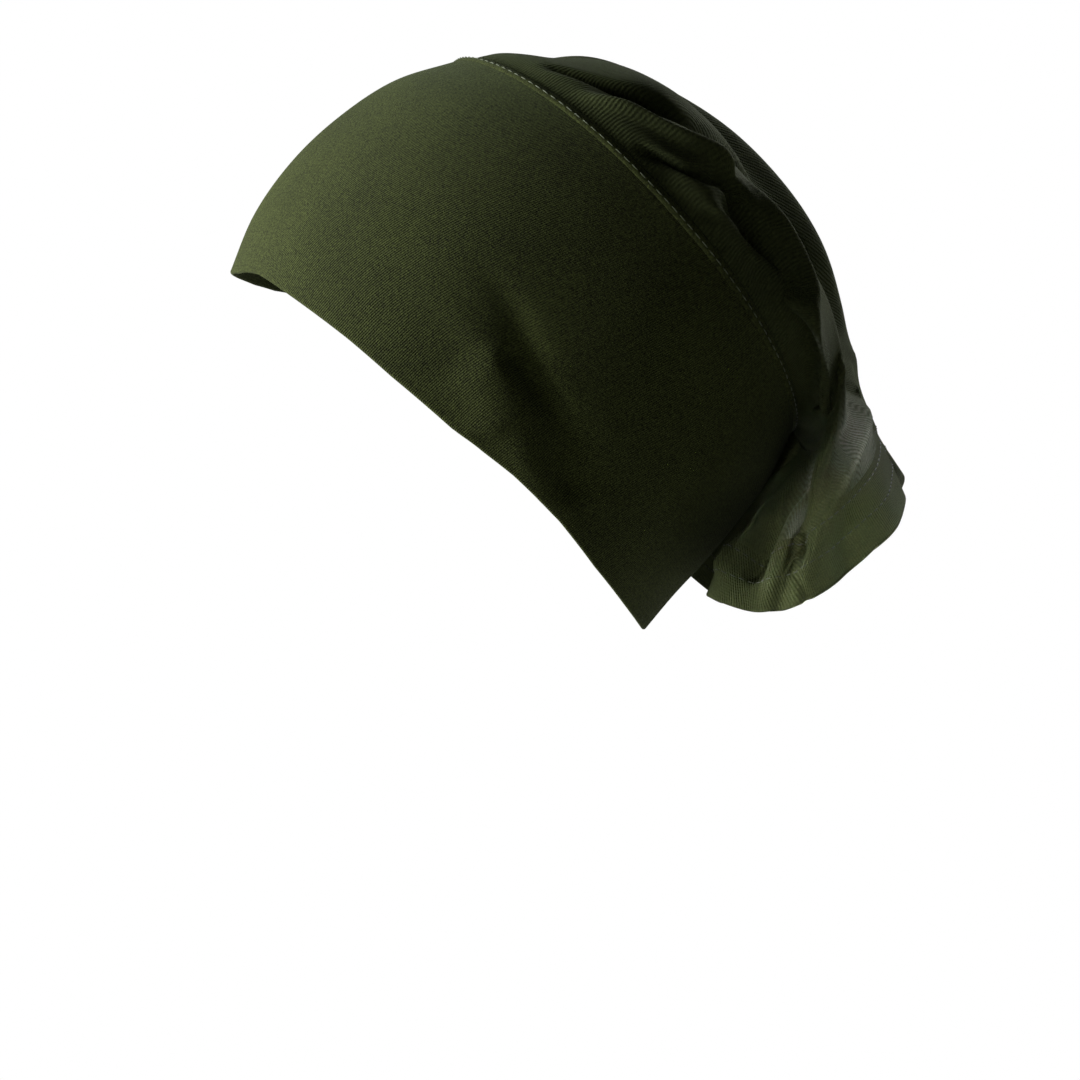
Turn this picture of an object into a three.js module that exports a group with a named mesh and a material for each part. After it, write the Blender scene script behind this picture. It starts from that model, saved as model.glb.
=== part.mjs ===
// Hijab underscarf cap: a doubled jersey band round the face, sewn to a single jersey tube that falls behind
// the head and ends in a turned hem. Millimetres, +X to the back of the head, -Y to the wearer's left, +Z up.
// The origin is inside the crown at the seam, where the cap sits on a head.
import * as THREE from 'three';

// Sizes of the worn cap
const headLength = 183; // forehead to the back of the band
const headHeight = 182; // crown to the nape edge of the band
const headWidth = 154; // across the band at its widest
const tailDrop = 137; // crown to the back of the hem
const tailWidth = 144; // across the tube's mouth
const foldHeight = 10; // the unit that the fold tables are shares of
const napeHollow = 20; // how deep the mouth's front side gives way to the nape
const underPush = 10.5; // how far the tube's underside stands off the back of the head
const underTuck = 0.8; // height of the tucks in the tube's underside
const bandWall = 1.8; // two layers of jersey
const tubeWall = 1; // one layer
const hemWall = 1.8; // the turned hem
const hemDepth = 20; // at the back of the mouth
const seamWidth = 2.7;
const seamProud = 0.7; // height of the seam strip over the band
const ditchDepth = 0.8; // the tube starts this far below the band's surface
const pieceGap = 0.4;
const hemGap = 0.9; // between the tube and the hem's thicker edge

// How the loops change along the cap
const crownSquare = 2.2; // the loops' exponent over the head
const mouthSquare = 2.6; // and at the mouth
const mouthEgg = 0.32; // how much narrower the mouth is at the back
const mouthFrom = 0.5; // share of the tail where it starts to open to the mouth
const underReach = 0.075; // how far round the push and the hollow reach, a share of a turn
const pushFrom = 0.3; // the push's start and end along the tail
const pushTo = 1.1;
const tuckReach = 0.12;
const tuckCount = 5; // along the tail
const tuckStart = [0.05, 0.25]; // where the tucks rise
const tuckEnd = [0.8, 1]; // and fade
const ditchReach = 0.03;
const foldFade = 0.25; // share of a fold's length over which it rises or fades

// Mesh density
const bandAround = 56;
const bandAlong = 10;
const tailAround = 84;
const tailAlong = 22;
const hemAlong = 2;
const seamEasing = 1.3; // above 1, the tail's steps crowd towards the seam
const clothPasses = 4; // rounds of easing for the tube's cloth
const normalPasses = 2; // and for a wall's inner face
const gather = 0.5; // share by which the columns crowd towards the folds at the top and the underside

// Sections. A loop's top and low points lie on the mid-line: Back is a share of headLength, Drop of
// headHeight for the band and of tailDrop for the tail. The half width is a share of the width, the bulge of
// headWidth.
const bandColumns = ['at', 'topBack', 'topDrop', 'lowBack', 'lowDrop', 'half', 'bulge'];
const bandSections = rows(bandColumns, [
  [0.0, -0.407, 0.363, 0.339, 1.0, 0.468, 0.08],
  [0.2, -0.361, 0.258, 0.388, 0.94, 0.481, 0.076],
  [0.4, -0.295, 0.168, 0.443, 0.879, 0.494, 0.073],
  [0.6, -0.215, 0.094, 0.497, 0.813, 0.5, 0.07],
  [0.8, -0.119, 0.032, 0.552, 0.736, 0.497, 0.068],
  [1.0, -0.014, 0.0, 0.593, 0.648, 0.487, 0.066],
]);

// The tail's points are measured from the ends of the seam.
const tailSections = rows(bandColumns, [
  [0.0, 0.0, 0.0, 0.0, 0.0, 0.487, 0.066],
  [0.03, 0.034, -0.002, 0.018, -0.013, 0.489, 0.067],
  [0.07, 0.077, 0.009, 0.034, -0.008, 0.49, 0.069],
  [0.1, 0.11, 0.02, 0.04, 0.004, 0.488, 0.07],
  [0.2, 0.224, 0.042, 0.042, 0.034, 0.468, 0.07],
  [0.3, 0.332, 0.122, 0.04, 0.054, 0.425, 0.066],
  [0.4, 0.428, 0.222, 0.036, 0.07, 0.375, 0.06],
  [0.5, 0.513, 0.338, 0.026, 0.084, 0.335, 0.058],
  [0.6, 0.573, 0.456, -0.005, 0.106, 0.322, 0.064],
  [0.7, 0.606, 0.586, -0.066, 0.15, 0.35, 0.072],
  [0.8, 0.655, 0.745, -0.14, 0.206, 0.41, 0.068],
  [0.9, 0.728, 0.87, -0.19, 0.275, 0.458, 0.078],
  [1.0, 0.786, 0.955, -0.218, 0.335, 0.486, 0.104],
]);

// The rolled ridge on the mid-line, the lower roll beside it and the groove between them. Heights are shares
// of foldHeight, reaches are shares of a turn from the mid-line.
const ridgeColumns = ['at', 'ridge', 'ridgeReach', 'strip', 'stripReach', 'groove'];
const ridgeSections = rows(ridgeColumns, [
  [0.0, 0.0, 0.02, 0.0, 0.15, 0.0],
  [0.1, 0.3, 0.022, 0.25, 0.155, 0.1],
  [0.2, 0.6, 0.025, 0.45, 0.15, 0.2],
  [0.3, 0.8, 0.028, 0.5, 0.13, 0.25],
  [0.4, 0.95, 0.029, 0.6, 0.095, 0.25],
  [0.5, 1.0, 0.029, 0.6, 0.066, 0.2],
  [0.6, 1.0, 0.029, 0.6, 0.058, 0.2],
  [0.7, 0.95, 0.035, 0.6, 0.062, 0.2],
  [0.75, 0.75, 0.06, 0.55, 0.085, 0.3],
  [0.8, 0.5, 0.2, 0.35, 0.23, 0.35],
  [0.85, 0.35, 0.275, 0.2, 0.3, 0.4],
  [0.9, 0.25, 0.305, 0.1, 0.32, 0.4],
  [1.0, 0.1, 0.325, 0.0, 0.34, 0.35],
]);
const ridgeEdge = 0.016; // softness of the rolls' edges, a share of a turn
const grooveWidth = 0.014;

// Single folds: from and to along the piece, where they lie around it, height and width. A negative height is
// a crease. They stand on both sides.
const foldColumns = ['from', 'to', 'aroundFrom', 'aroundTo', 'height', 'width'];
const tailFolds = rows(foldColumns, [
  [0.42, 0.64, 0.085, 0.09, -0.35, 0.018],
  [0.74, 1.1, 0.41, 0.395, 0.4, 0.026],
  [0.78, 1.1, 0.365, 0.355, -0.3, 0.02],
  [0.86, 1.1, 0.06, 0.11, -0.22, 0.018],
  [0.84, 1.1, 0.17, 0.165, 0.2, 0.03],
  [0.86, 1.1, 0.235, 0.23, -0.2, 0.022],
]);
const bandFolds = rows(foldColumns, [
  [0.05, 0.5, 0.34, 0.225, -0.16, 0.016],
  [0.0, 0.36, 0.31, 0.24, 0.12, 0.03],
]);

function rows(columns, table) {
  return table.map((row) => Object.fromEntries(columns.map((column, i) => [column, row[i]])));
}

const mix = (a, b, t) => a + (b - a) * t;

function rise(from, to, x) {
  const t = Math.min(1, Math.max(0, (x - from) / (to - from)));
  return t * t * (3 - 2 * t);
}

const bell = (x, width) => Math.exp(-((x / width) ** 2));

// A column's slope at row i, the weighted mean of the slopes on its two sides.
function slopeAt(table, column, i) {
  const slope = (a, b) => (table[b][column] - table[a][column]) / (table[b].at - table[a].at);
  if (i === 0) return slope(0, 1);
  if (i === table.length - 1) return slope(i - 1, i);
  const before = table[i].at - table[i - 1].at;
  const after = table[i + 1].at - table[i].at;
  return (slope(i - 1, i) * after + slope(i, i + 1) * before) / (before + after);
}

// A column's value between the rows, on one smooth curve.
function along(table, column, at) {
  let i = 0;
  while (i < table.length - 2 && at >= table[i + 1].at) i += 1;
  const span = table[i + 1].at - table[i].at;
  const s = (at - table[i].at) / span;
  return (
    (2 * s ** 3 - 3 * s ** 2 + 1) * table[i][column] +
    (s ** 3 - 2 * s ** 2 + s) * span * slopeAt(table, column, i) +
    (3 * s ** 2 - 2 * s ** 3) * table[i + 1][column] +
    (s ** 3 - s ** 2) * span * slopeAt(table, column, i + 1)
  );
}

// A section's top and low points on the mid-line, from the points that the table is measured from.
function sectionEnds(table, at, start, drop) {
  const point = (side) =>
    new THREE.Vector3(
      start[side].x + along(table, side + 'Back', at) * headLength,
      0,
      start[side].z - along(table, side + 'Drop', at) * drop,
    );
  return { top: point('top'), low: point('low') };
}

// One point of a loop that stands between a top and a low point: a superellipse, turn being its share of a
// turn from the top, whose sides bulge along the tube and whose back may be narrower than its front.
function loopPoint({ top, low }, half, bulge, square, egg, turn) {
  const angle = 2 * Math.PI * turn;
  const c0 = Math.cos(angle);
  const s0 = Math.sin(angle);
  const r = (Math.abs(c0) ** square + Math.abs(s0) ** square) ** (-1 / square);
  const c = r * c0;
  const s = r * s0;
  const chord = top.clone().sub(low).multiplyScalar(0.5);
  const tubeWay = new THREE.Vector3(chord.z, 0, -chord.x).normalize();
  const point = top.clone().add(low).multiplyScalar(0.5).addScaledVector(chord, c);
  point.addScaledVector(tubeWay, bulge * s * s);
  point.y = -half * s * (1 - egg * c);
  return { point, tubeWay };
}

const crown = { x: 0, z: bandWall };

function bandLoop(turn, at) {
  const ends = sectionEnds(bandSections, at, { top: crown, low: crown }, headHeight);
  const half = along(bandSections, 'half', at) * headWidth;
  const bulge = along(bandSections, 'bulge', at) * headWidth;
  return loopPoint(ends, half, bulge, crownSquare, 0, turn);
}

// Where the tail starts: past the end of the band by the seam strip and its two gaps.
const seamPitch = seamWidth + 2 * pieceGap;
const nearEnd = 0.99;
const seamStart = (() => {
  const start = { top: crown, low: crown };
  const end = sectionEnds(bandSections, 1, start, headHeight);
  const before = sectionEnds(bandSections, nearEnd, start, headHeight);
  const past = (side) =>
    end[side].clone().addScaledVector(end[side].clone().sub(before[side]).normalize(), seamPitch);
  return { top: past('top'), low: past('low') };
})();

function tailLoop(turn, at) {
  const ends = sectionEnds(tailSections, at, seamStart, tailDrop);
  const opening = rise(mouthFrom, 1, at);
  const half = along(tailSections, 'half', at) * mix(headWidth, tailWidth, at);
  const bulge = along(tailSections, 'bulge', at) * headWidth;
  return loopPoint(ends, half, bulge, mix(crownSquare, mouthSquare, opening), mouthEgg * opening, turn);
}

// The outward normal of a loop surface, from its neighbours along and around.
function normalOf(loop, turn, at) {
  const step = 0.002;
  const here = (du, dv) => loop(turn + du, at + dv).point;
  const around = here(step, 0).sub(here(-step, 0));
  const forward = here(0, step).sub(here(0, -step));
  return around.cross(forward).normalize();
}

const fromTop = (turn) => Math.abs(turn - Math.round(turn));

// Height of the single folds at a place, as a share of foldHeight.
function foldShare(folds, reach, at) {
  return folds.reduce((sum, fold) => {
    const t = (at - fold.from) / (fold.to - fold.from);
    const centre = mix(fold.aroundFrom, fold.aroundTo, t);
    const fade = rise(0, foldFade, t) * (1 - rise(1 - foldFade, 1, t));
    return sum + fold.height * fade * bell(reach - centre, fold.width);
  }, 0);
}

function bandPoint(turn, at) {
  const { point } = bandLoop(turn, at);
  const height = foldHeight * foldShare(bandFolds, fromTop(turn), at);
  return point.addScaledVector(normalOf(bandLoop, turn, at), height);
}

function tailPoint(turn, at) {
  const { point, tubeWay } = tailLoop(turn, at);
  const reach = fromTop(turn);
  const value = (column) => along(ridgeSections, column, at);
  const roll = (height, edge) => height * (1 - rise(edge - ridgeEdge, edge + ridgeEdge, reach));
  const folds =
    roll(value('ridge'), value('ridgeReach')) +
    roll(value('strip'), value('stripReach')) -
    value('groove') * bell(reach - value('ridgeReach'), grooveWidth) +
    foldShare(tailFolds, reach, at);
  const under = bell(0.5 - reach, underReach);
  const hollow = napeHollow * rise(mouthFrom, 1, at) * under;
  const tuckFade = rise(...tuckStart, at) * (1 - rise(...tuckEnd, at));
  const tucks = Math.sin(2 * Math.PI * tuckCount * at) * bell(0.5 - reach, tuckReach) * tuckFade;
  const ditch = ditchDepth * bell(at, ditchReach);
  const height = foldHeight * folds - hollow + underTuck * tucks - ditch;
  const push = underPush * Math.sin(Math.PI * rise(pushFrom, pushTo, at)) * under;
  point.addScaledVector(normalOf(tailLoop, turn, at), height);
  return point.addScaledVector(tubeWay, push);
}

// Turn shares of the columns, closer together at the top and the underside.
function turns(count, crowding) {
  return Array.from({ length: count }, (_, i) => {
    const t = i / count;
    return t - (crowding * Math.sin(4 * Math.PI * t)) / (4 * Math.PI);
  });
}

// A grid of points: a row per step from one end of the stretch to the other, a column per turn share. An
// easing over 1 puts more of the steps at the start.
function gridOf(place, shares, from, to, steps, easing = 1) {
  return Array.from({ length: steps + 1 }, (_, j) =>
    shares.map((turn) => place(turn, mix(from, to, (j / steps) ** easing))),
  );
}

// The grid with each point between its ends moved half way to the mean of its four neighbours, over and over,
// so that no crease is tighter than a wall can turn.
function eased(grid, passes) {
  if (passes === 0) return grid;
  const last = grid.length - 1;
  const softer = grid.map((ring, j) =>
    ring.map((p, i) => {
      if (j === 0 || j === last) return p;
      const mean = new THREE.Vector3();
      const beside = [grid[j - 1][i], grid[j + 1][i], ring.at(i - 1), ring[(i + 1) % ring.length]];
      beside.forEach((q) => mean.add(q));
      return p.clone().lerp(mean.divideScalar(4), 0.5);
    }),
  );
  return eased(softer, passes - 1);
}

// The grid's normals, from the points beside each one.
function gridNormals(grid) {
  const last = grid.length - 1;
  return grid.map((ring, j) =>
    ring.map((_, i) => {
      const around = ring[(i + 1) % ring.length].clone().sub(ring[(i + ring.length - 1) % ring.length]);
      const forward = grid[Math.min(j + 1, last)][i].clone().sub(grid[Math.max(j - 1, 0)][i]);
      return around.cross(forward).normalize();
    }),
  );
}

// A closed body from rings of points, the last ring joined to the first one. Each ring runs round the head.
function ringBody(rings) {
  const count = rings[0].length;
  const positions = rings.flat().flatMap((p) => [p.x, p.y, p.z]);
  const index = [];
  rings.forEach((_, j) => {
    const next = (j + 1) % rings.length;
    for (let i = 0; i < count; i += 1) {
      const k = (i + 1) % count;
      const [a, b, c, d] = [j * count + i, j * count + k, next * count + k, next * count + i];
      index.push(a, b, c, a, c, d);
    }
  });
  const geometry = new THREE.BufferGeometry();
  geometry.setAttribute('position', new THREE.Float32BufferAttribute(positions, 3));
  geometry.setIndex(index);
  geometry.computeVertexNormals();
  return geometry;
}

// A cloth wall: the grid is its outer face, and its inner face lies one wall inside it.
function wallBody(grid, wall) {
  const softer = eased(gridNormals(grid), normalPasses);
  const normals = softer.map((ring) => ring.map((n) => n.clone().normalize()));
  const inner = grid.map((ring, j) => ring.map((p, i) => p.clone().addScaledVector(normals[j][i], -wall)));
  return ringBody([...grid, ...inner.reverse()]);
}

const underscarfCap = new THREE.Group();

function addPiece(name, geometry, colour) {
  const material = new THREE.MeshStandardMaterial({ color: colour, roughness: 0.9, metalness: 0 });
  const mesh = new THREE.Mesh(geometry, material);
  mesh.name = name;
  underscarfCap.add(mesh);
}

// The hem takes its depth at the back of the mouth. Its gap to the tube keeps its size on the short
// underside.
const lastShare = tailSections.at(-1).at - tailSections.at(-2).at;
const lastEnds = [1 - lastShare, 1].map((at) => sectionEnds(tailSections, at, seamStart, tailDrop));
const runPerShare = (side) => lastEnds[0][side].distanceTo(lastEnds[1][side]) / lastShare;
const hemStart = 1 - hemDepth / runPerShare('top');
const tubeEnd = hemStart - hemGap / runPerShare('low');

const bandTurns = turns(bandAround, 0);
const tailTurns = turns(tailAround, gather);

const bandGrid = gridOf(bandPoint, bandTurns, 0, 1, bandAlong);
addPiece('front_band', wallBody(bandGrid, bandWall), 0x3a4224);

// The seam strip fills the stretch between the band's end and the tube's start, less a gap at each.
const bandEnd = bandGrid.at(-1);
const tubeStart = bandTurns.map((turn) => tailPoint(turn, 0));
const seamProfile = [
  { across: pieceGap / seamPitch, up: -bandWall },
  { across: pieceGap / seamPitch, up: seamProud / 2 },
  { across: 0.5, up: seamProud },
  { across: 1 - pieceGap / seamPitch, up: seamProud / 2 },
  { across: 1 - pieceGap / seamPitch, up: -bandWall },
];
const seamRings = seamProfile.map(({ across, up }) =>
  bandTurns.map((turn, i) =>
    bandEnd[i].clone().lerp(tubeStart[i], across).addScaledVector(normalOf(bandLoop, turn, nearEnd), up),
  ),
);
addPiece('join_seam', ringBody(seamRings), 0x414a29);

const tubeGrid = eased(gridOf(tailPoint, tailTurns, 0, tubeEnd, tailAlong, seamEasing), clothPasses);
addPiece('tail_tube', wallBody(tubeGrid, tubeWall), 0x434c2f);
addPiece('tail_hem', wallBody(gridOf(tailPoint, tailTurns, hemStart, 1, hemAlong), hemWall), 0x48523a);

export default underscarfCap;
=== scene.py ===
import math

import bpy
import numpy as np
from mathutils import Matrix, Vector


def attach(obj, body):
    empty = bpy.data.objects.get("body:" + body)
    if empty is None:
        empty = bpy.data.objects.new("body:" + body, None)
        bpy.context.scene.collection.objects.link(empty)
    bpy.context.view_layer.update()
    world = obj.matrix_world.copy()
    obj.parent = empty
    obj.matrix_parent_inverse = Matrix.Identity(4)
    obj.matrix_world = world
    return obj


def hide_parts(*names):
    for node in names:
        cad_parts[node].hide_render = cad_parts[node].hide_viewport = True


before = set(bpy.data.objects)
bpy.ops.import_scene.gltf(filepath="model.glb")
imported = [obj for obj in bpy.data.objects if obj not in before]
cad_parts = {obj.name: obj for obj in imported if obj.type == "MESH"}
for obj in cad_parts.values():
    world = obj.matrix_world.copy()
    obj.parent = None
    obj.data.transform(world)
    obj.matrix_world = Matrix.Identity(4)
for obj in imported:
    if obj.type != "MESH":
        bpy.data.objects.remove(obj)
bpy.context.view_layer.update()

rng = np.random.default_rng(7)
mm = 0.001

# the cap's form, in millimetres, with the same sizes and tables as the solids
form = {
    # the cap's own length, height and width, and the tail's
    "headLength": 183, "headHeight": 182, "headWidth": 154, "tailDrop": 137, "tailWidth": 144,
    # the highest fold, and how far the underside goes in, back and in and out in its small tucks
    "foldHeight": 10, "napeHollow": 20, "underPush": 10.5, "underTuck": 0.8,
    "bandWall": 1.8, "tubeWall": 1.0, "hemWall": 1.8, "hemDepth": 20,
    "seamWidth": 2.7, "ditchDepth": 0.8, "pieceGap": 0.4, "hemGap": 0.9,
    # widths of the ridge's edge and of the groove beside it, as shares of a turn
    "ridgeEdge": 0.016, "grooveWidth": 0.014,
    # powers of the superellipse, how far it narrows to the top, and where the tail starts to change to it
    "crownSquare": 2.2, "mouthSquare": 2.6, "mouthEgg": 0.32, "mouthFrom": 0.5,
    # widths as shares of a turn, and places as shares of the tail's length
    "underReach": 0.075, "pushFrom": 0.3, "pushTo": 1.1,
    "tuckReach": 0.12, "tuckCount": 5, "tuckStart": (0.05, 0.25), "tuckStop": (0.8, 1),
    "ditchReach": 0.03, "foldFade": 0.25,
    "nearSeam": 0.99,  # share of the band where its direction at the seam is taken
}

# at, topBack, topDrop, lowBack, lowDrop, half, bulge
bandSections = np.array([
    [0.0, -0.407, 0.363, 0.339, 1.0, 0.468, 0.08],
    [0.2, -0.361, 0.258, 0.388, 0.94, 0.481, 0.076],
    [0.4, -0.295, 0.168, 0.443, 0.879, 0.494, 0.073],
    [0.6, -0.215, 0.094, 0.497, 0.813, 0.5, 0.07],
    [0.8, -0.119, 0.032, 0.552, 0.736, 0.497, 0.068],
    [1.0, -0.014, 0.0, 0.593, 0.648, 0.487, 0.066],
])
tailSections = np.array([
    [0.0, 0.0, 0.0, 0.0, 0.0, 0.487, 0.066],
    [0.03, 0.034, -0.002, 0.018, -0.013, 0.489, 0.067],
    [0.07, 0.077, 0.009, 0.034, -0.008, 0.49, 0.069],
    [0.1, 0.11, 0.02, 0.04, 0.004, 0.488, 0.07],
    [0.2, 0.224, 0.042, 0.042, 0.034, 0.468, 0.07],
    [0.3, 0.332, 0.122, 0.04, 0.054, 0.425, 0.066],
    [0.4, 0.428, 0.222, 0.036, 0.07, 0.375, 0.06],
    [0.5, 0.513, 0.338, 0.026, 0.084, 0.335, 0.058],
    [0.6, 0.573, 0.456, -0.005, 0.106, 0.322, 0.064],
    [0.7, 0.606, 0.586, -0.066, 0.15, 0.35, 0.072],
    [0.8, 0.655, 0.745, -0.14, 0.206, 0.41, 0.068],
    [0.9, 0.728, 0.87, -0.19, 0.275, 0.458, 0.078],
    [1.0, 0.786, 0.955, -0.218, 0.335, 0.486, 0.104],
])
# at, ridge, ridgeReach, strip, stripReach, groove
ridgeSections = np.array([
    [0.0, 0.0, 0.02, 0.0, 0.15, 0.0],
    [0.1, 0.3, 0.022, 0.25, 0.155, 0.1],
    [0.2, 0.6, 0.025, 0.45, 0.15, 0.2],
    [0.3, 0.8, 0.028, 0.5, 0.13, 0.25],
    [0.4, 0.95, 0.029, 0.6, 0.095, 0.25],
    [0.5, 1.0, 0.029, 0.6, 0.066, 0.2],
    [0.6, 1.0, 0.029, 0.6, 0.058, 0.2],
    [0.7, 0.95, 0.035, 0.6, 0.062, 0.2],
    [0.75, 0.75, 0.06, 0.55, 0.085, 0.3],
    [0.8, 0.5, 0.2, 0.35, 0.23, 0.35],
    [0.85, 0.35, 0.275, 0.2, 0.3, 0.4],
    [0.9, 0.25, 0.305, 0.1, 0.32, 0.4],
    [1.0, 0.1, 0.325, 0.0, 0.34, 0.35],
])
# from, to, aroundFrom, aroundTo, height (share of foldHeight), width
tailFolds = [
    [0.42, 0.64, 0.085, 0.09, -0.35, 0.018],
    [0.74, 1.1, 0.41, 0.395, 0.4, 0.026],
    [0.78, 1.1, 0.365, 0.355, -0.3, 0.02],
    [0.86, 1.1, 0.06, 0.11, -0.22, 0.018],
    [0.84, 1.1, 0.17, 0.165, 0.2, 0.03],
    [0.86, 1.1, 0.235, 0.23, -0.2, 0.022],
]
bandFolds = [
    [0.05, 0.5, 0.34, 0.225, -0.16, 0.016],
    [0.0, 0.36, 0.31, 0.24, 0.12, 0.03],
]


def rise(a, b, x):  # smooth step from 0 at a to 1 at b
    t = np.clip((x - a) / (b - a), 0, 1)
    return t * t * (3 - 2 * t)


def bell(x, width):  # e to the minus square of x over width
    return np.exp(-((x / width) ** 2))


def along(table, column, at):
    # a cubic through each row, with the weighted mean of the slopes on its two sides
    x, y = table[:, 0], table[:, column]
    slope = np.gradient(y, x)
    i = np.clip(np.searchsorted(x, at, side="right") - 1, 0, len(x) - 2)
    span = x[i + 1] - x[i]
    s = (at - x[i]) / span
    return ((2 * s**3 - 3 * s**2 + 1) * y[i] + (s**3 - 2 * s**2 + s) * span * slope[i]
            + (3 * s**2 - 2 * s**3) * y[i + 1] + (s**3 - s**2) * span * slope[i + 1])


def sectionEnds(table, at, start, drop):
    # top and low points on the mid-line: start plus Back shares of the length, minus Drop shares of the drop
    return [np.stack([p[0] + along(table, c, at) * form["headLength"], 0 * at,
                      p[2] - along(table, c + 1, at) * drop], -1) for p, c in zip(start, (1, 3))]


def loopPoint(ends, half, bulge, square, egg, turn):
    # superellipse between the two ends: cosine along the chord, sine across the cap, and the sides
    # bulging along the tube
    top, low = ends
    c, s = np.cos(2 * np.pi * turn), np.sin(2 * np.pi * turn)
    r = (np.abs(c)**square + np.abs(s)**square)**(-1 / square)
    c, s = r * c, r * s
    chord = (top - low) / 2
    way = np.stack([chord[..., 2], 0 * c, -chord[..., 0]], -1)
    way = way / np.linalg.norm(way, axis=-1, keepdims=True)
    point = (top + low) / 2 + chord * c[..., None] + way * (bulge * s * s)[..., None]
    point[..., 1] = -half * s * (1 - egg * c)
    return point, way


crown = np.array([0, 0, form["bandWall"]])


def bandLoop(turn, at):
    ends = sectionEnds(bandSections, at, (crown, crown), form["headHeight"])
    half = along(bandSections, 5, at) * form["headWidth"]
    bulge = along(bandSections, 6, at) * form["headWidth"]
    return loopPoint(ends, half, bulge, form["crownSquare"], 0, turn)


seamPitch = form["seamWidth"] + 2 * form["pieceGap"]
bandEnds = [sectionEnds(bandSections, np.array(v), (crown, crown), form["headHeight"])
            for v in (form["nearSeam"], 1.0)]
seamStart = [b + (b - a) / np.linalg.norm(b - a) * seamPitch for a, b in zip(*bandEnds)]


def tailLoop(turn, at):
    ends = sectionEnds(tailSections, at, seamStart, form["tailDrop"])
    opening = rise(form["mouthFrom"], 1, at)
    width = form["headWidth"] + (form["tailWidth"] - form["headWidth"]) * at
    square = form["crownSquare"] + (form["mouthSquare"] - form["crownSquare"]) * opening
    half = along(tailSections, 5, at) * width
    bulge = along(tailSections, 6, at) * form["headWidth"]
    return loopPoint(ends, half, bulge, square, form["mouthEgg"] * opening, turn)


def normalOf(loop, turn, at, step=0.002):
    # across the neighbours around and along
    around = loop(turn + step, at)[0] - loop(turn - step, at)[0]
    forward = loop(turn, at + step)[0] - loop(turn, at - step)[0]
    n = np.cross(around, forward)
    return n / np.linalg.norm(n, axis=-1, keepdims=True)


def fromTop(turn):  # the reach: how far round from the top, in shares of a turn, on either side
    return np.abs(turn - np.round(turn))


def foldShare(folds, reach, at):
    total = 0 * reach
    for start, end, a, b, height, width in folds:
        t = (at - start) / (end - start)
        fade = rise(0, form["foldFade"], t) * (1 - rise(1 - form["foldFade"], 1, t))
        total = total + height * fade * bell(reach - (a + (b - a) * t), width)
    return total


def bandPoint(turn, at):
    # the loops, raised along their normals by the band's two soft folds
    height = form["foldHeight"] * foldShare(bandFolds, fromTop(turn), at)
    return bandLoop(turn, at)[0] + normalOf(bandLoop, turn, at) * height[..., None]


def tailPoint(turn, at):
    # the loops, raised along their normals by the two rolls, the groove and the folds,
    # and hollowed underneath
    point, way = tailLoop(turn, at)
    reach = fromTop(turn)
    ridge, ridgeReach, strip, stripReach, groove = [along(ridgeSections, k, at) for k in range(1, 6)]
    edge = form["ridgeEdge"]
    folds = (ridge * (1 - rise(ridgeReach - edge, ridgeReach + edge, reach))
             + strip * (1 - rise(stripReach - edge, stripReach + edge, reach))
             - groove * bell(reach - ridgeReach, form["grooveWidth"]) + foldShare(tailFolds, reach, at))
    under = bell(0.5 - reach, form["underReach"])
    hollow = form["napeHollow"] * rise(form["mouthFrom"], 1, at) * under
    tucks = (np.sin(2 * np.pi * form["tuckCount"] * at) * bell(0.5 - reach, form["tuckReach"])
             * rise(*form["tuckStart"], at) * (1 - rise(*form["tuckStop"], at)))
    height = (form["foldHeight"] * folds - hollow + form["underTuck"] * tucks
              - form["ditchDepth"] * bell(at, form["ditchReach"]))
    push = form["underPush"] * np.sin(np.pi * rise(form["pushFrom"], form["pushTo"], at)) * under
    return point + normalOf(tailLoop, turn, at) * height[..., None] + way * push[..., None]


def sheerPaintedLightField(turn, at, spots):
    # 1 where the single layer is pulled thin and sheer, and where its colour is painted pale as painted
    # backlight, for light from behind shining through: a sum of bells round a few spots
    total = np.zeros(turn.shape)
    for reach, place, reachWidth, placeWidth, share in spots:
        total = total + share * bell(fromTop(turn) - reach, reachWidth) * bell(at - place, placeWidth)
    return np.clip(total, 0, 1)


def eased(grid, passes):
    # each point between the ends moves half way to the mean of its four neighbours
    for _ in range(passes):
        mean = (np.roll(grid, 1, 0) + np.roll(grid, -1, 0))[:, 1:-1] + grid[:, 2:] + grid[:, :-2]
        grid = np.concatenate([grid[:, :1], grid[:, 1:-1] / 2 + mean / 8, grid[:, -1:]], 1)
    return grid


def gridNormals(grid, passes=0):
    n = np.cross(np.roll(grid, -1, 0) - np.roll(grid, 1, 0), np.gradient(grid, axis=1))
    n = eased(n / np.linalg.norm(n, axis=-1, keepdims=True), passes)
    return n / np.linalg.norm(n, axis=-1, keepdims=True)


# samples along each fold's curve, and passes that ease the normals of folds and of walls
foldSamples = 60
foldNormalEase = 6
wallNormalEase = 2


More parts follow.
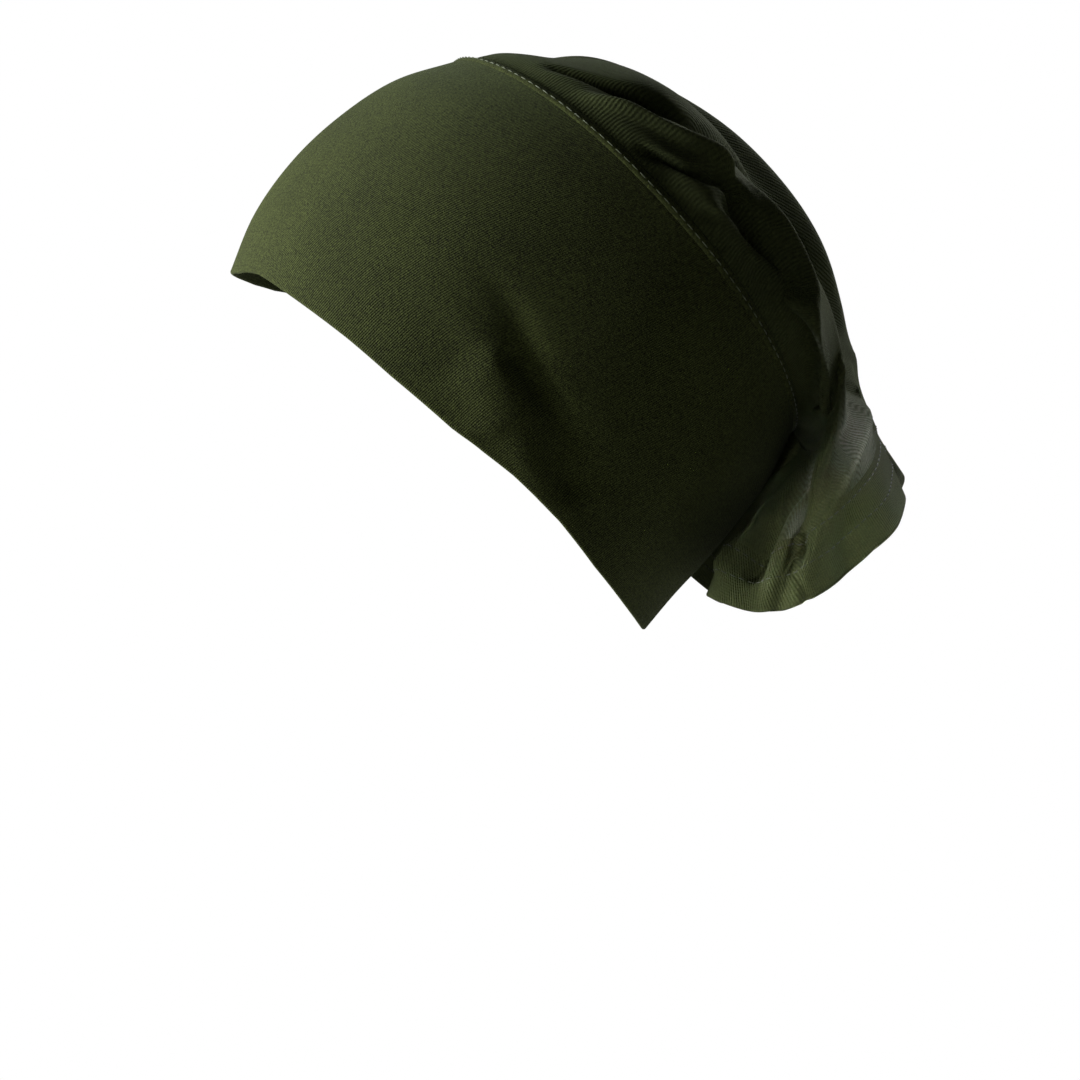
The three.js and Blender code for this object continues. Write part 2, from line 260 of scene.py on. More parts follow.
def foldField(turn, at, grid, folds):
    # each fold runs along a cubic curve on the cloth. With d the distance from it in millimetres, it adds
    # height times e to the minus (d over width) squared, and lap times the same bell times d over width,
    # which is positive on one side of the curve and negative on the other
    reach = fromTop(turn)
    perTurn = np.linalg.norm(np.roll(grid, -1, 0) - np.roll(grid, 1, 0), axis=-1) / (
        (np.roll(turn, -1, 0) - np.roll(turn, 1, 0)) % 1)
    perShare = np.linalg.norm(np.gradient(grid, axis=1), axis=-1) / np.gradient(at, axis=1)
    total = np.zeros(turn.shape)
    for points, height, lap, width, fadeIn, fadeOut in folds:
        points = np.array(points)
        knots = np.linspace(0, 1, len(points))
        t = np.linspace(0, 1, foldSamples)
        slope = np.gradient(points, knots, axis=0)
        k = np.clip((t * (len(points) - 1)).astype(int), 0, len(points) - 2)
        w = (t * (len(points) - 1) - k)[:, None]
        span = knots[1]
        curve = ((2 * w**3 - 3 * w**2 + 1) * points[k] + (w**3 - 2 * w**2 + w) * span * slope[k]
                 + (3 * w**2 - 2 * w**3) * points[k + 1] + (w**3 - w**2) * span * slope[k + 1])
        tangent = np.gradient(curve, axis=0)
        near = np.full(turn.shape, np.inf)
        share, side = np.zeros(turn.shape), np.zeros(turn.shape)
        for (a, b), (ta, tb), here in zip(curve, tangent, t):
            da, db = (reach - a) * perTurn, (at - b) * perShare
            d = np.hypot(da, db)
            closer = d < near
            near = np.where(closer, d, near)
            share = np.where(closer, here, share)
            side = np.where(closer, np.sign(ta * perTurn * db - tb * perShare * da), side)
        fade = rise(0, fadeIn, share) * (1 - rise(1 - fadeOut, 1, share))
        total += fade * bell(near, width) * (height + lap * side * near / width)
    return total


def addMesh(name, points, quads, uv=None, wayRound=0, attributes=None):
    mesh = bpy.data.meshes.new(name)
    mesh.from_pydata((points.reshape(-1, 3) * mm).tolist(), [], quads.reshape(-1, 4).tolist())
    mesh.polygons.foreach_set("use_smooth", np.ones(len(mesh.polygons), bool))
    if uv is not None:  # millimetres on the cloth, and the last column's quads run on to the way round
        layer = mesh.uv_layers.new(name="cloth")
        corners = np.empty(len(mesh.loops), np.int32)
        mesh.loops.foreach_get("vertex_index", corners)
        uv = uv.reshape(-1, 2)[corners].reshape(-1, 4, 2)
        across = uv[:, :, 0]
        wrapped = across.max(1) - across.min(1) > wayRound / 2
        across += np.where(wrapped[:, None] & (across < wayRound / 2), wayRound, 0)
        layer.data.foreach_set("uv", uv.ravel().astype(np.float32))
    for key, values in (attributes or {}).items():
        marks = mesh.attributes.new(key, "FLOAT", "POINT")
        marks.data.foreach_set("value", values.ravel().astype(np.float32))
    mesh.update()
    piece = bpy.data.objects.new(name, mesh)
    bpy.context.scene.collection.objects.link(piece)
    return piece


def ringQuads(columns, rows, close=False):
    # quads of a grid stored column by column, closed around, and along too when close is set
    i, j = np.meshgrid(np.arange(columns), np.arange(rows if close else rows - 1), indexing="ij")
    k, m = (i + 1) % columns, (j + 1) % rows
    return np.stack([i * rows + j, k * rows + j, k * rows + m, i * rows + m], -1)


def clothMaps(grid, wale):
    # distance around, with the mean loop's length in whole wales, and distance along from the first row
    around = np.linalg.norm(np.roll(grid, -1, 0) - grid, axis=-1).mean(1)
    wayRound = round(around.sum() / wale) * wale
    start = np.concatenate([[0], np.cumsum(around)[:-1]]) * wayRound / around.sum()
    steps = np.linalg.norm(np.diff(grid, axis=1), axis=-1)
    run = np.concatenate([np.zeros((len(grid), 1)), np.cumsum(steps, 1)], 1)
    return np.stack([start[:, None] + 0 * run, run], -1), wayRound


def clothWall(name, grid, wall, wale, rim=6, innerStep=1, attributes=None):
    # outer face, half-round rim, inner face one wall inside, half-round rim: one closed skin
    normals = gridNormals(grid, wallNormalEase)
    uv, wayRound = clothMaps(grid, wale)
    middle = grid - normals * wall / 2
    parts = [grid]
    maps = [uv]
    marks = {key: [values] for key, values in (attributes or {}).items()}

    def addRows(points, rows):
        parts.append(points)
        maps.append(uv[:, rows])
        for key, values in (attributes or {}).items():
            marks[key].append(values[:, rows])

    def addRim(row, inside, turns):
        way = grid[:, row] - grid[:, inside]
        way = way / np.linalg.norm(way, axis=-1, keepdims=True)
        for t in turns:
            arc = normals[:, row] * math.cos(t) + way * math.sin(t)
            addRows((middle[:, row] + arc * wall / 2)[:, None], [row])

    turns = np.linspace(0, np.pi, rim + 2)[1:-1]
    addRim(-1, -2, turns)
    rows = np.unique(np.append(np.arange(0, grid.shape[1], innerStep), grid.shape[1] - 1))[::-1]
    addRows((grid - normals * wall)[:, rows], rows)
    addRim(0, 1, turns[::-1])
    points = np.concatenate(parts, 1)
    columns, rows = points.shape[:2]
    return addMesh(name, points, ringQuads(columns, rows, True), np.concatenate(maps, 1), wayRound,
                   {key: np.concatenate(values, 1) for key, values in marks.items()})


def profileRing(name, path, across, up, profile):
    # a closed profile carried round a closed path; its two directions stand at every point of the path
    points = path[:, None] + across[:, None] * profile[None, :, :1] + up[:, None] * profile[None, :, 1:]
    columns, rows = points.shape[:2]
    return addMesh(name, points, ringQuads(columns, rows, True))


# each stitch is a thread with this many sides and rings. Its radius starts at this share of a half turn,
# and its direction is taken over this many millimetres
threadSides = 6
threadSteps = 5
threadEnd = 0.06
threadStep = 0.5


def stitchRow(name, path, up, size):
    # short rounded threads along a closed path: each is a small tube whose radius and lift swell to its
    # middle as the root of a sine
    run = np.concatenate([[0], np.cumsum(np.linalg.norm(np.roll(path, -1, 0) - path, axis=-1))])
    closed = np.concatenate([path, path[:1]])
    closedUp = np.concatenate([up, up[:1]])

    def follow(values, at):
        return np.stack([np.interp(at % run[-1], run, values[:, k]) for k in range(3)], -1)

    count = int(run[-1] / size["pitch"])
    starts = np.arange(count) * run[-1] / count + rng.uniform(-1, 1, count) * size["wander"]
    spots = np.linspace(0, 1, threadSteps)
    at = starts[:, None] + spots * size["stitch"]
    centre = follow(closed, at)
    lift = follow(closedUp, at)
    way = follow(closed, at + threadStep) - centre
    way /= np.linalg.norm(way, axis=-1, keepdims=True)
    side = np.cross(way, lift)
    swell = np.sin(np.pi * (threadEnd + (1 - 2 * threadEnd) * spots)) ** 0.5
    centre = centre + lift * (size["lift"] * (2 * swell - 1))[None, :, None]
    turn = np.linspace(0, 2 * np.pi, threadSides, endpoint=False)
    radius = size["radius"] * swell[None, :, None, None]
    points = (centre[:, :, None] + lift[:, :, None] * np.cos(turn)[:, None] * radius
              + side[:, :, None] * np.sin(turn)[:, None] * radius)
    n, s = threadSides, threadSteps
    j, i = np.meshgrid(np.arange(s - 1), np.arange(n), indexing="ij")
    k = (i + 1) % n
    tube = np.stack([j * n + i, j * n + k, (j + 1) * n + k, (j + 1) * n + i], -1).reshape(-1, 4)
    cap = np.array([[0, 3, 2, 1], [0, 5, 4, 3]])  # six corners as two quads
    one = np.concatenate([tube, cap, cap[:, ::-1] + (s - 1) * n])
    quads = (one[None] + (np.arange(count) * s * n)[:, None, None]).reshape(-1, 4)
    return addMesh(name, points, quads)


def linear(code):  # sRGB hex to linear colour
    c = np.array([int(code[i:i + 2], 16) / 255 for i in (1, 3, 5)])
    c = np.where(c <= 0.04045, c / 12.92, ((c + 0.055) / 1.055) ** 2.4)
    return (*c.tolist(), 1)


def addNode(tree, kind, inputs=None, **settings):
    # one node with its settings, where each input takes a number, a colour, an output,
    # or a node for its first output
    node = tree.nodes.new(kind)
    for key, value in settings.items():
        setattr(node, key, value)
    for socket, value in (inputs or {}).items():
        if isinstance(value, bpy.types.Node):
            value = value.outputs[0]
        if isinstance(value, bpy.types.NodeSocket):
            tree.links.new(value, node.inputs[socket])
        else:
            node.inputs[socket].default_value = value
    return node


def newMaterial(name):
    m = bpy.data.materials.new(name)
    m.use_nodes = True
    tree = m.node_tree
    tree.nodes.clear()
    return m, tree


jersey = {
    "course": 0.85,  # mm between rows of loops, drawn coarser than the real 0.45 so that they show
    "loopShare": 0.25,  # how strongly the rows show, beside the wales
    "wander": 0.5,  # mm that the wales stray sideways
    "noises": [
        {"Scale": 120, "Detail": 2, "Roughness": 0.5},  # how the wales stray
        {"Scale": 1500, "Detail": 2, "Roughness": 0.7},  # heathered yarn, in spots of about 0.7 mm
        {"Scale": 45, "Detail": 3, "Roughness": 0.5},  # broad uneven dye
        {"Scale": 3200, "Detail": 2, "Roughness": 0.5},  # loose fibre ends
    ],
    "gapSpeck": 3.0, "gapShare": 0.3, "gapLeast": 0.15,  # how the open knit shows the painted pale of light shining through
    "speckRelief": 2.0, "fuzzRelief": 1.2, "relief": 0.00012,  # shares of the height, and its metres
    "roughness": 0.95, "specular": 0.2, "sheenRoughness": 0.5, "sheen": "#b4c49e",
}


def jerseyKnit(name, look):
    # cotton jersey, weft knitted and piece-dyed: matte, with fine ribs along the tube, a heathered yarn
    # and faint fuzz
    m, t = newMaterial(name)
    cloth = addNode(t, "ShaderNodeUVMap", uv_map="cloth")
    acrossCloth, alongCloth = addNode(t, "ShaderNodeSeparateXYZ", {0: cloth}).outputs[:2]
    spot = addNode(t, "ShaderNodeTexCoord").outputs["Object"]
    stray, speck, cloud, fuzz = [addNode(t, "ShaderNodeTexNoise", {"Vector": spot, **noise})
                                 for noise in jersey["noises"]]
    # the wales lean as they go along the cloth, and stray a little, and the courses cross them
    leaned = addNode(t, "ShaderNodeMath", {0: alongCloth, 1: look["lean"], 2: acrossCloth},
                     operation="MULTIPLY_ADD")
    waled = addNode(t, "ShaderNodeMath", {0: stray, 1: jersey["wander"], 2: leaned}, operation="MULTIPLY_ADD")
    waves = []
    for distance, pitch in ((waled, look["wale"]), (alongCloth, jersey["course"])):
        phase = addNode(t, "ShaderNodeMath", {0: distance, 1: 2 * math.pi / pitch}, operation="MULTIPLY")
        waves.append(addNode(t, "ShaderNodeMath", {0: phase}, operation="COSINE"))
    rib, loops = waves
    knit = addNode(t, "ShaderNodeMath", {0: loops, 1: jersey["loopShare"], 2: rib}, operation="MULTIPLY_ADD")
    # the tone is a half, plus the knit's shade, plus the swings of the yarn and of the dye
    tone = addNode(t, "ShaderNodeMath", {0: knit, 1: look["ribShade"], 2: 0.5}, operation="MULTIPLY_ADD")
    for noise, share in ((speck, look["heather"]), (cloud, look["patchy"])):
        swing = addNode(t, "ShaderNodeMath", {0: noise, 1: 0.5}, operation="SUBTRACT")
        tone = addNode(t, "ShaderNodeMath", {0: swing, 1: share, 2: tone}, operation="MULTIPLY_ADD")
    dye = {0: tone, 6: linear(look["dark"]), 7: linear(look["light"])}
    colour = addNode(t, "ShaderNodeMix", dye, data_type="RGBA").outputs[2]
    if look["through"]:  # pulled thin, the gaps between the wales show, and there the colour is painted pale: painted light, for light from behind shining through
        paintedBacklight = addNode(t, "ShaderNodeAttribute", attribute_name="sheerPaintedLight").outputs["Fac"]
        backlitGaps = speck
        for times, plus in ((jersey["gapSpeck"], rib), (jersey["gapShare"], jersey["gapLeast"]), (paintedBacklight, 0)):
            backlitGaps = addNode(t, "ShaderNodeMath", {0: backlitGaps, 1: times, 2: plus}, operation="MULTIPLY_ADD")
        pale = {0: backlitGaps, 6: colour, 7: linear(look["paintedBacklight"])}
        colour = addNode(t, "ShaderNodeMix", pale, data_type="RGBA").outputs[2]
    relief = knit
    for noise, share in ((speck, jersey["speckRelief"]), (fuzz, jersey["fuzzRelief"])):
        relief = addNode(t, "ShaderNodeMath", {0: noise, 1: share, 2: relief}, operation="MULTIPLY_ADD")
    normal = addNode(t, "ShaderNodeBump", {
        "Height": relief, "Strength": look["bump"], "Distance": jersey["relief"]})
    surface = addNode(t, "ShaderNodeBsdfPrincipled", {
        "Base Color": colour, "Normal": normal, "Roughness": jersey["roughness"],
        "Specular IOR Level": jersey["specular"], "Sheen Weight": look["fuzz"],
        "Sheen Roughness": jersey["sheenRoughness"], "Sheen Tint": linear(jersey["sheen"])})
    if look["through"]:  # a thin single layer, which light from behind comes through
        glow = addNode(t, "ShaderNodeBsdfTranslucent", {"Normal": normal, "Color": linear(look["glow"])})
        surface = addNode(t, "ShaderNodeMixShader", {0: look["through"], 1: surface, 2: glow})
    addNode(t, "ShaderNodeOutputMaterial", {0: surface})
    return m


# noise scale of the plies, and the bump's height in metres
thread = {"plyScale": 2500, "relief": 0.00005, "bump": 0.4, "roughness": 0.6, "fuzz": 0.3}


def sewingThread(name, colour):
    # spun polyester thread, twisted from two plies: a soft gleam in its own colour
    m, t = newMaterial(name)
    spot = addNode(t, "ShaderNodeTexCoord").outputs["Object"]
    ply = addNode(t, "ShaderNodeTexNoise", {"Vector": spot, "Scale": thread["plyScale"], "Detail": 2})
    normal = addNode(t, "ShaderNodeBump", {
        "Height": ply, "Strength": thread["bump"], "Distance": thread["relief"]})
    surface = addNode(t, "ShaderNodeBsdfPrincipled", {
        "Base Color": linear(colour), "Normal": normal, "Roughness": thread["roughness"],
        "Sheen Weight": thread["fuzz"]})
    addNode(t, "ShaderNodeOutputMaterial", {0: surface})
    return m


def turnsOf(count, crowding):  # shares of a turn, closer together at the top and underside by the crowding
    t = np.arange(count) / count
    return t - crowding * np.sin(4 * np.pi * t) / (4 * np.pi)


# the folded band: one wall all round, its fold at the front edge
band = {
    "around": 420, "along": 100, "ease": 6,
    # reach, and how far the folded edge lies inside the form's edge, as a share of the band
    "edgeShift": np.array([
        [0.0, 0.014], [0.04, 0.015], [0.068, 0.024], [0.084, 0.038], [0.1, 0.047], [0.117, 0.043],
        [0.15, 0.033], [0.18, 0.024], [0.21, 0.01], [0.25, 0.003], [0.29, 0.022], [0.325, 0.022],
        [0.36, 0.004], [0.4, 0.0], [0.5, 0.0]]),
    # points (reach, at), height mm, lap mm, width mm, fade in, fade out
    "creases": [
        # the dip below the swell of the side, sharp at its upper end and wide at the edge
        ([(0.25, 0.316), (0.264, 0.3), (0.284, 0.277), (0.301, 0.25), (0.317, 0.21)],
         -2.3, -1.5, 3.6, 0.12, 0.35),
        ([(0.285, 0.265), (0.305, 0.23), (0.318, 0.17), (0.33, 0.1)], -2.0, 0, 9.0, 0.4, 0.3),
        # the swell in front of it
        ([(0.236, 0.255), (0.256, 0.18), (0.276, 0.08)], 1.5, 0, 11.0, 0.4, 0.2),
        # faint pulls towards the low edge and the front
        ([(0.3, 0.62), (0.33, 0.4), (0.36, 0.15)], -0.5, 0, 9.0, 0.4, 0.4),
        ([(0.12, 0.1), (0.17, 0.3), (0.2, 0.55)], -0.35, 0, 10.0, 0.4, 0.4),
    ],
    # wale in mm, lean in mm across for each mm along, and the shares of rib, yarn and dye in the tone
    "look": {"dark": "#1a1b08", "light": "#4a5128", "wale": 0.68, "lean": -0.34, "ribShade": 0.17,
             "heather": 2.2, "patchy": 0.4, "bump": 0.6, "fuzz": 0.12, "through": 0},
}
bandU, bandV = np.meshgrid(turnsOf(band["around"], 0), np.linspace(0, 1, band["along"]), indexing="ij")
bandV = bandV + (1 - bandV) ** 2 * np.interp(fromTop(bandU), band["edgeShift"][:, 0], band["edgeShift"][:, 1])
bandGrid = eased(bandPoint(bandU, bandV), band["ease"])
bandRise = foldField(bandU, bandV, bandGrid, band["creases"])
bandGrid = bandGrid + gridNormals(bandGrid, foldNormalEase) * bandRise[..., None]
faceBand = clothWall("faceBand", bandGrid, form["bandWall"], band["look"]["wale"])
faceBand.data.materials.append(jerseyKnit("doubled jersey knit", band["look"]))
print("band made")

# where the hem starts and the tube ends, as shares of the tail
lastShare = tailSections[-1, 0] - tailSections[-2, 0]
lastEnds = [sectionEnds(tailSections, np.array(v), seamStart, form["tailDrop"]) for v in (1 - lastShare, 1.0)]
runPerShare = [float(np.linalg.norm(b - a)) / lastShare for a, b in zip(*lastEnds)]
hemStart = 1 - form["hemDepth"] / runPerShare[0]
tubeEnd = hemStart - form["hemGap"] / runPerShare[1]

# the tube and its hem, on one grid
tail = {
    "around": 500, "along": 124, "hemRows": 20, "crowding": -0.25, "rowPower": 1.15, "ease": 5, "foldEase": 1,
    "wallShare": 0.8,  # the walls are a little thinner than the solids', for the tight bends
    "foldStart": 0.03,  # share of the tail over which the folds grow from the seam
    # reach, and how far the hem's edge lies inside the form's edge, as a share of the tail
    "edgeShift": np.array([[0.0, 0.0], [0.05, 0.006], [0.1, 0.016], [0.15, 0.024], [0.2, 0.026],
                           [0.25, 0.01], [0.3, 0.0], [0.5, 0.0]]),
    "shiftPower": 6,
    # the sheer spots, where the pale colour is painted light: light from behind shining through the thin
    # cloth
    # reach, at, half width of reach, half width of at, share
    "sheerPaintedLightSpots": [
        (0.18, 0.8, 0.036, 0.055, 1.0),
        (0.336, 0.76, 0.011, 0.05, 0.7),
        (0.312, 0.84, 0.01, 0.04, 0.5),
        (0.404, 0.89, 0.012, 0.03, 0.9),
        (0.345, 0.19, 0.007, 0.025, 0.4),
    ],
    # points (reach, at), height mm, lap mm, width mm, fade in, fade out
    "creases": [
        # the valley between the ridge and the near side
        ([(0.125, 0.03), (0.15, 0.1), (0.16, 0.17), (0.158, 0.24), (0.132, 0.33), (0.09, 0.42), (0.056, 0.49),
          (0.042, 0.57), (0.036, 0.66)], -6.0, -2.6, 3.2, 0.1, 0.25),
        # the hump's crest below it, to a pinched tip, and the crease under the hump
        ([(0.16, 0.02), (0.178, 0.07), (0.192, 0.13), (0.197, 0.185), (0.196, 0.235)],
         3.8, 0, 4.0, 0.3, 0.08),
        ([(0.212, 0.01), (0.224, 0.04), (0.228, 0.09), (0.22, 0.16), (0.207, 0.21)],
         -4.6, 1.6, 2.8, 0.2, 0.15),
        ([(0.2, 0.24), (0.21, 0.212), (0.224, 0.185)], 2.6, 0, 2.0, 0.3, 0.4),
        # the hollow behind the seam, deep along the strip that hangs beyond it
        ([(0.214, 0.18), (0.222, 0.205), (0.234, 0.23), (0.253, 0.252), (0.274, 0.245), (0.3, 0.19),
          (0.335, 0.11), (0.375, 0.06), (0.42, 0.05)], -12.0, -5.0, 5.0, 0.1, 0.3),
        ([(0.232, 0.12), (0.25, 0.17), (0.27, 0.18), (0.3, 0.12), (0.33, 0.07), (0.36, 0.05)],
         -9.0, 0, 10.0, 0.2, 0.35),
        ([(0.185, 0.28), (0.205, 0.31), (0.238, 0.34), (0.27, 0.335), (0.3, 0.27), (0.34, 0.175),
          (0.38, 0.125), (0.42, 0.12), (0.46, 0.14)], 3.6, 0, 4.2, 0.2, 0.25),
        # the leaf fold, whose edge laps over the dark gap beside the band, and the folds beside it
        ([(0.36, 0.6), (0.372, 0.7), (0.375, 0.77), (0.38, 0.83), (0.392, 0.88), (0.398, 0.95)],
         3.4, 1.5, 3.2, 0.25, 0.1),
        ([(0.385, 0.5), (0.396, 0.62), (0.4, 0.72), (0.401, 0.79), (0.407, 0.84), (0.42, 0.89),
          (0.428, 0.96)],
         -5.0, 0, 4.0, 0.2, 0.1),
        ([(0.36, 0.3), (0.385, 0.45), (0.392, 0.6), (0.392, 0.7)], -8.0, 0, 5.5, 0.3, 0.3),
        ([(0.338, 0.7), (0.348, 0.79), (0.362, 0.87), (0.37, 0.95)], -4.6, 0, 3.2, 0.25, 0.2),
        ([(0.33, 0.58), (0.318, 0.74), (0.304, 0.86), (0.3, 0.96)], -4.4, -3.2, 3.0, 0.25, 0.4),
        ([(0.3, 0.62), (0.29, 0.74), (0.278, 0.86)], 2.2, 0, 5.0, 0.3, 0.3),
        # the tube's own lengthwise seam, where it crosses the hem
        ([(0.314, 0.9), (0.3, 0.96), (0.286, 1.03)], -1.0, 0.8, 1.4, 0.3, 0.05),
        # soft folds down the open end
        ([(0.12, 0.82), (0.09, 0.9), (0.062, 0.97)], -2.0, -1.4, 3.4, 0.3, 0.15),
        ([(0.2, 0.6), (0.19, 0.72), (0.17, 0.85)], 1.5, 0, 8.0, 0.4, 0.4),
        ([(0.24, 0.6), (0.232, 0.7), (0.225, 0.8)], -1.6, 0, 4.2, 0.4, 0.4),
        # the slack sides of the back, which hang in a little
        ([(0.06, 0.8), (0.1, 0.785), (0.15, 0.78)], -3.4, 0, 9.0, 0.3, 0.3),
        # short gathers at the seam
        ([(0.06, 0.0), (0.063, 0.07)], -0.9, 0, 2.2, 0.1, 0.6),
        ([(0.235, 0.0), (0.237, 0.06)], -0.8, 0, 2.4, 0.1, 0.6),
        ([(0.27, 0.0), (0.268, 0.07)], -0.9, 0, 2.4, 0.1, 0.6),
    ],
    "look": {"dark": "#1d210f", "light": "#4b5230", "wale": 0.85, "lean": 0.4, "ribShade": 0.11,
             "heather": 1.8, "patchy": 0.5, "bump": 0.7, "fuzz": 0.12, "through": 0.2, "glow": "#a5ab86",
             # the last colour is painted light: the pale of light from behind shining through the sheer spots
             "paintedBacklight": "#b8bcae"},
}
tubeShares = tubeEnd * np.linspace(0, 1, tail["along"]) ** tail["rowPower"]
hemShares = np.linspace(tubeEnd, 1, tail["hemRows"] + 1)[1:]
tailShares = np.concatenate([tubeShares, hemShares])
tailU, tailV = np.meshgrid(turnsOf(tail["around"], tail["crowding"]), tailShares, indexing="ij")
tailShift = np.interp(fromTop(tailU), tail["edgeShift"][:, 0], tail["edgeShift"][:, 1])
tailV = tailV * (1 - tailV ** tail["shiftPower"] * tailShift)
tailGrid = eased(tailPoint(tailU, tailV), tail["ease"])
tailRise = foldField(tailU, tailV, tailGrid, tail["creases"]) * rise(0, tail["foldStart"], tailV)
tailGrid = eased(tailGrid + gridNormals(tailGrid, foldNormalEase) * tailRise[..., None], tail["foldEase"])
# the painted backlight: a pale painted on the tube's sheer spots, for light from behind shining through
sheerPaintedLight = sheerPaintedLightField(tailU, tailV, tail["sheerPaintedLightSpots"])
tubeRows = tail["along"]
tubeWall = form["tubeWall"] * tail["wallShare"]
tailTube = clothWall("tailTube", tailGrid[:, :tubeRows], tubeWall, tail["look"]["wale"], rim=3, innerStep=2,
                     attributes={"sheerPaintedLight": sheerPaintedLight[:, :tubeRows]})
tailKnit = jerseyKnit("single jersey knit", tail["look"])
tailTube.data.materials.append(tailKnit)
print("tube made")

hemGrid = tailGrid[:, tubeRows - 1:]
turnedHem = clothWall("turnedHem", hemGrid, form["hemWall"] * tail["wallShare"], tail["look"]["wale"],
                      attributes={"sheerPaintedLight": np.zeros(hemGrid.shape[:2])})
turnedHem.data.materials.append(tailKnit)
print("hem made")

# the strip between band and tube, an oval carried round, and the topstitch on the band's side of it
seam = {
    # pitch, length, radius, lift and wander of the stitches, in mm
    "pitch": 3.2, "stitch": 2.3, "radius": 0.17, "lift": 0.12, "wander": 0.08, "colour": "#4a5139",
    "halfWidth": 0.56, "stitchAt": 0.42,  # shares of the way from the band's edge to the tube's
    "halfHeight": 1.15, "sink": 0.45, "stitchUp": 0.7, "sides": 24,  # mm, and corners of the oval
}
seamTurns = turnsOf(band["around"], 0)
bandEdge = bandPoint(seamTurns, 1 + 0 * seamTurns)
seamUp = normalOf(bandLoop, seamTurns, form["nearSeam"] + 0 * seamTurns)
seamAcross = tailPoint(seamTurns, 0 * seamTurns) - bandEdge
oval = np.linspace(0, 2 * np.pi, seam["sides"], endpoint=False)[::-1]
stripProfile = np.stack([0.5 + seam["halfWidth"] * np.cos(oval),
                         seam["halfHeight"] * np.sin(oval) - seam["sink"]], -1)
seamStrip = profileRing("seamStrip", bandEdge, seamAcross, seamUp, stripProfile)
seamStrip.data.materials.append(faceBand.data.materials[0])
stitchPath = bandEdge + seamAcross * seam["stitchAt"] + seamUp * seam["stitchUp"]
topStitch = stitchRow("topStitch", stitchPath, seamUp, seam)
topStitch.data.materials.append(sewingThread("spun polyester thread", seam["colour"]))

# the two rows of stitches that hold the hem, at shares of its depth
hemSewing = {
    "pitch": 2.9, "stitch": 2.0, "radius": 0.16, "lift": 0.05, "wander": 0.08, "colour": "#2f3520",
    "proud": 0.08,  # mm from the hem's face to the thread's path
    "rows": {"hemStitchUpper": 0.14, "hemStitchLower": 0.5},
}
hemThread = sewingThread("dark spun polyester thread", hemSewing["colour"])
hemStitches = []
for name, share in hemSewing["rows"].items():
    j = int(share * tail["hemRows"])
    hemUp = gridNormals(hemGrid, wallNormalEase)[:, j]
    row = stitchRow(name, hemGrid[:, j] + hemUp * hemSewing["proud"], hemUp, hemSewing)
    row.data.materials.append(hemThread)
    hemStitches.append(row)
print("seams made")

# what each piece rides on and stands for
for piece, node, slotName in ((faceBand, "front_band", "band_jersey"), (tailTube, "tail_tube", "tube_jersey"),
                              (turnedHem, "tail_hem", "hem_jersey"), (seamStrip, "join_seam", "seam_jersey")):
    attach(piece, "root")
    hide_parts(node)
for piece, slotName in ((topStitch, "seam_jersey"), *((row, "hem_jersey") for row in hemStitches)):
    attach(piece, "root")

# floor, light and camera, in metres and watts
studio = {
    "floorHeight": -0.312, "floorHalf": 6.0, "floor": "#a8a8a6",
    "roomLight": 0.02, "roomSeen": 1.0,  # strength of the white room on the cap, and as the camera sees it
    # name, place, aim, power, size, colour, spread in degrees
    "lamps": [
        ("frontLow", (-1.0, -0.06, 0.06), (-0.02, 0, -0.08), 21, 0.5, "#fbfff6", 180),
        ("frontHigh", (-0.65, 0.12, 0.75), (-0.02, 0, -0.05), 2, 0.5, "#f6fff2", 180),
        ("backRight", (0.65, 0.5, 0.38), (0.1, 0, -0.1), 7, 0.5, "#ffffff", 180),
        ("tailGlow", (-0.1, -0.8, -0.2), (0.139, -0.05, -0.153), 0.017, 0.03, "#ffffff", 8),
    ],
    "camera": (0.0268, -0.486, -0.1112), "lookDown": 4.7, "lens": 48.33, "sensor": 36, "clip": 0.02,
}


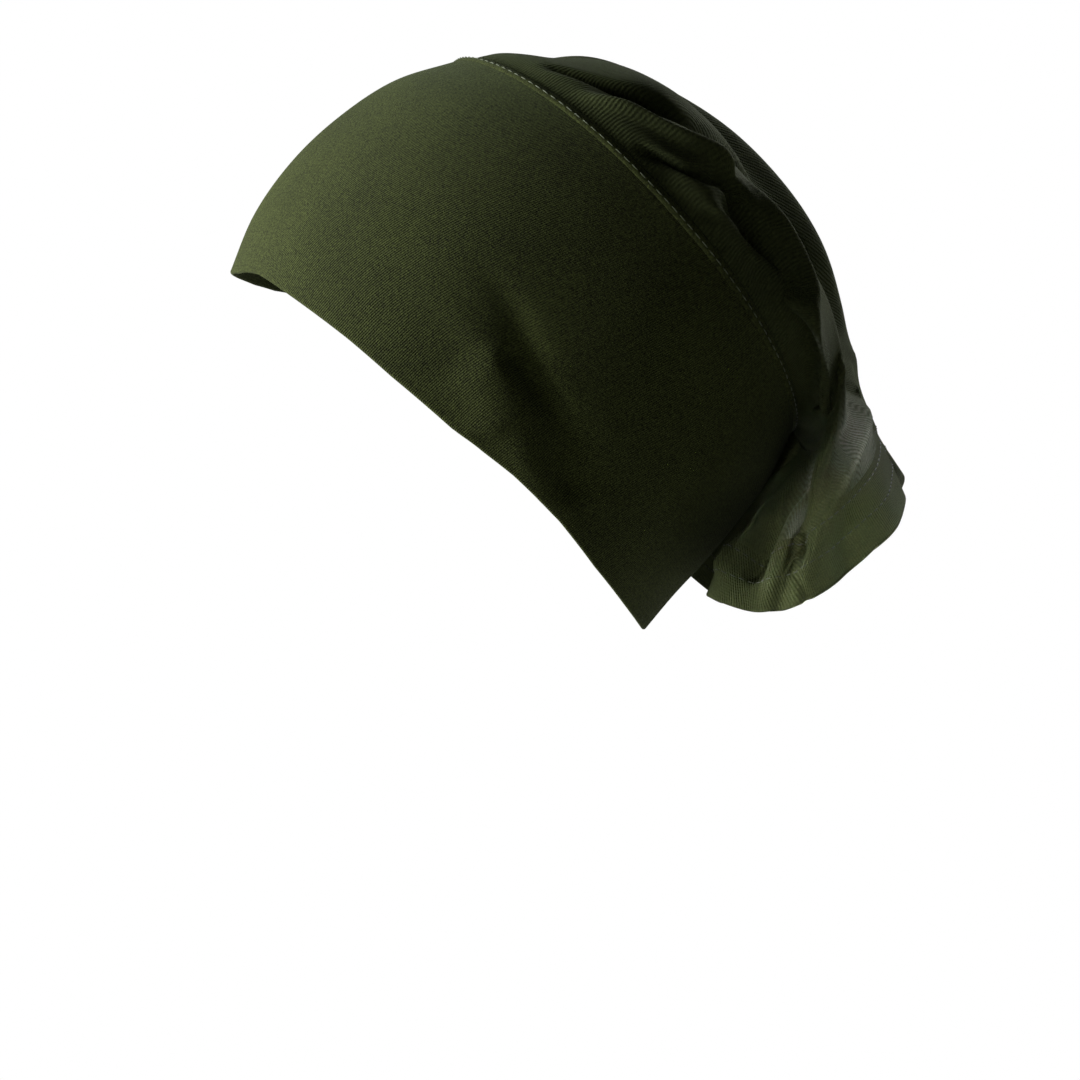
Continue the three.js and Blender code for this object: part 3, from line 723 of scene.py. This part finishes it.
def studioFloor():
    # a flat square, far larger than the view, which the camera sees as pure white
    sides = (-studio["floorHalf"], studio["floorHalf"])
    corners = np.array([(x, y, studio["floorHeight"]) for x in sides for y in sides])
    floor = addMesh("floor", corners / mm, np.array([[0, 2, 3, 1]]))
    m, t = newMaterial("matte white paper")
    paper = addNode(t, "ShaderNodeBsdfDiffuse", {0: linear(studio["floor"])})
    white = addNode(t, "ShaderNodeEmission", {0: (1, 1, 1, 1)})
    seen = addNode(t, "ShaderNodeLightPath").outputs["Is Camera Ray"]
    surface = addNode(t, "ShaderNodeMixShader", {0: seen, 1: paper, 2: white})
    addNode(t, "ShaderNodeOutputMaterial", {0: surface})
    floor.data.materials.append(m)


def softLight(name, spot, aim, power, size, colour, spread):
    lamp = bpy.data.lights.new(name, "AREA")
    lamp.energy = power
    lamp.size = size
    lamp.color = linear(colour)[:3]
    lamp.spread = math.radians(spread)
    o = bpy.data.objects.new(name, lamp)
    bpy.context.scene.collection.objects.link(o)
    o.location = spot
    o.rotation_euler = (Vector(aim) - Vector(spot)).to_track_quat("-Z", "Y").to_euler()


def whiteRoom():
    # an even white that lights the cap only a little
    world = bpy.data.worlds.new("pale room")
    world.use_nodes = True
    t = world.node_tree
    t.nodes.clear()
    seen = addNode(t, "ShaderNodeLightPath").outputs["Is Camera Ray"]
    strength = addNode(t, "ShaderNodeMapRange", {
        "Value": seen, "To Min": studio["roomLight"], "To Max": studio["roomSeen"]})
    sky = addNode(t, "ShaderNodeBackground", {"Strength": strength, "Color": (1, 1, 1, 1)})
    addNode(t, "ShaderNodeOutputWorld", {0: sky})
    bpy.context.scene.world = world


studioFloor()
for lamp in studio["lamps"]:
    softLight(*lamp)
whiteRoom()
bpy.context.scene.view_settings.view_transform = "Standard"

camera = bpy.data.cameras.new("camera")
camera.lens = studio["lens"]
camera.sensor_width = studio["sensor"]
camera.clip_start = studio["clip"]
cameraObject = bpy.data.objects.new("camera", camera)
bpy.context.scene.collection.objects.link(cameraObject)
cameraObject.location = studio["camera"]
cameraObject.rotation_euler = (math.radians(90 - studio["lookDown"]), 0, 0)
bpy.context.scene.camera = cameraObject
print("studio made")
